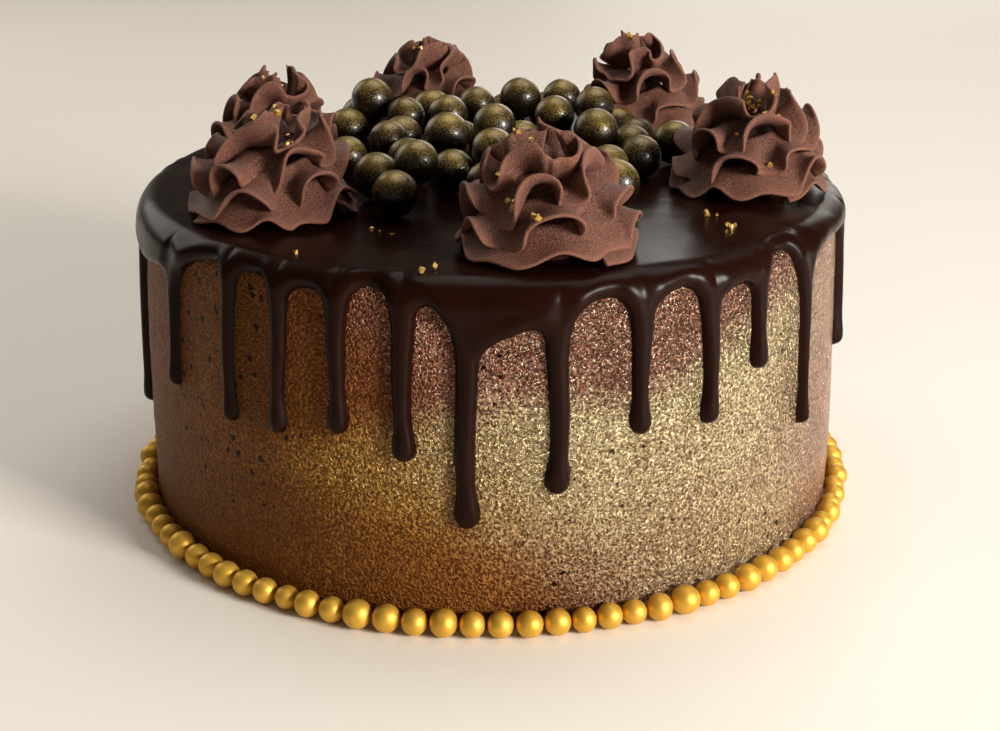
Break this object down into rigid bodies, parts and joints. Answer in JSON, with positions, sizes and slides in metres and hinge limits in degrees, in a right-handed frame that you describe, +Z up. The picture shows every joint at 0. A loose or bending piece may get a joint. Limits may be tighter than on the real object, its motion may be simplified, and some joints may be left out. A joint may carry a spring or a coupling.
{
  "type": "drip cake",
  "caption": "Round tall chocolate drip cake: buttercream side with gold dust, poured ganache top with drips, piped rosettes, a heap of chocolate balls and a border of gold sugar pearls.",
  "frame": {"origin": "middle of the base, on the surface the cake stands on", "axes": "+Z up; -Y towards the front that the picture shows; +X to the right"},
  "size_m": [0.2142, 0.2142, 0.1233],
  "materials": {
    "buttercream": "matte chocolate buttercream with gold lustre dust",
    "ganache": "satin dark chocolate ganache",
    "piping": "matte piped chocolate buttercream",
    "chocolate_balls": "polished dark chocolate with gold dust",
    "pearls": "satin gold coated sugar"
  },
  "bodies": {
    "root": {"cake_body": "buttercream", "ganache_coat": "ganache", "rosette_front": "piping", "rosette_right": "piping", "rosette_back_right": "piping", "rosette_back": "piping", "rosette_back_left": "piping", "rosette_front_left": "piping", "choc_ball_01": "chocolate_balls", "choc_ball_02": "chocolate_balls", "choc_ball_03": "chocolate_balls", "choc_ball_04": "chocolate_balls", "choc_ball_05": "chocolate_balls", "choc_ball_06": "chocolate_balls", "choc_ball_07": "chocolate_balls", "choc_ball_08": "chocolate_balls", "choc_ball_09": "chocolate_balls", "choc_ball_10": "chocolate_balls", "choc_ball_11": "chocolate_balls", "choc_ball_12": "chocolate_balls", "choc_ball_13": "chocolate_balls", "choc_ball_14": "chocolate_balls", "choc_ball_15": "chocolate_balls", "choc_ball_16": "chocolate_balls", "choc_ball_17": "chocolate_balls", "choc_ball_18": "chocolate_balls", "choc_ball_19": "chocolate_balls", "choc_ball_20": "chocolate_balls", "choc_ball_21": "chocolate_balls", "choc_ball_22": "chocolate_balls", "choc_ball_23": "chocolate_balls", "choc_ball_24": "chocolate_balls", "choc_ball_25": "chocolate_balls", "choc_ball_26": "chocolate_balls", "choc_ball_27": "chocolate_balls", "choc_ball_28": "chocolate_balls", "choc_ball_29": "chocolate_balls", "choc_ball_30": "chocolate_balls", "choc_ball_31": "chocolate_balls", "choc_ball_32": "chocolate_balls", "choc_ball_33": "chocolate_balls", "choc_ball_34": "chocolate_balls", "choc_ball_35": "chocolate_balls", "choc_ball_36": "chocolate_balls", "choc_ball_37": "chocolate_balls", "choc_ball_38": "chocolate_balls", "choc_ball_39": "chocolate_balls", "choc_ball_40": "chocolate_balls", "choc_ball_41": "chocolate_balls", "pearl_border": "pearls"}
  },
  "joints": []
}
